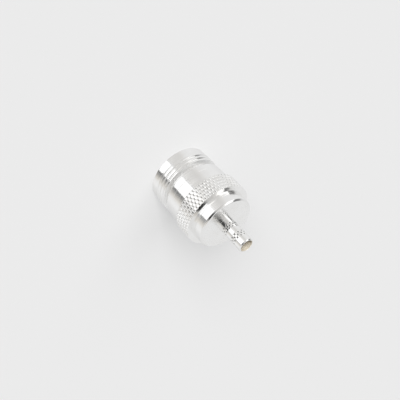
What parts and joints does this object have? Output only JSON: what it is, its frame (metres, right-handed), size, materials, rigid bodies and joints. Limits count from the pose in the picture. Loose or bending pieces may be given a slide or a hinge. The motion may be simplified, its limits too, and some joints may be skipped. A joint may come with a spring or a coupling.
{
  "type": "n type connector",
  "caption": "Straight in-line coaxial cable jack: threaded mating end, diamond-knurled grip, smooth barrel and a hollow knurled stem for a crimped cable.",
  "frame": {"origin": "centre of the front face of the mating rim, on the plane the part stands on", "axes": "+Z along the connector's axis from the mating rim to the open end of the crimp stem; X and Y are square to it and equal"},
  "size_m": [0.0174, 0.0174, 0.0271],
  "materials": {
    "silver_plate_shell": "bright silver plate over turned brass",
    "silver_plate_body": "bright silver plate over turned brass",
    "white_insulator": "waxy white",
    "gilt_contact": "thin gold plate"
  },
  "bodies": {
    "root": {"front_shell": "silver_plate_shell", "rear_body": "silver_plate_body", "insulator": "white_insulator", "socket_contact": "gilt_contact"}
  },
  "joints": []
}
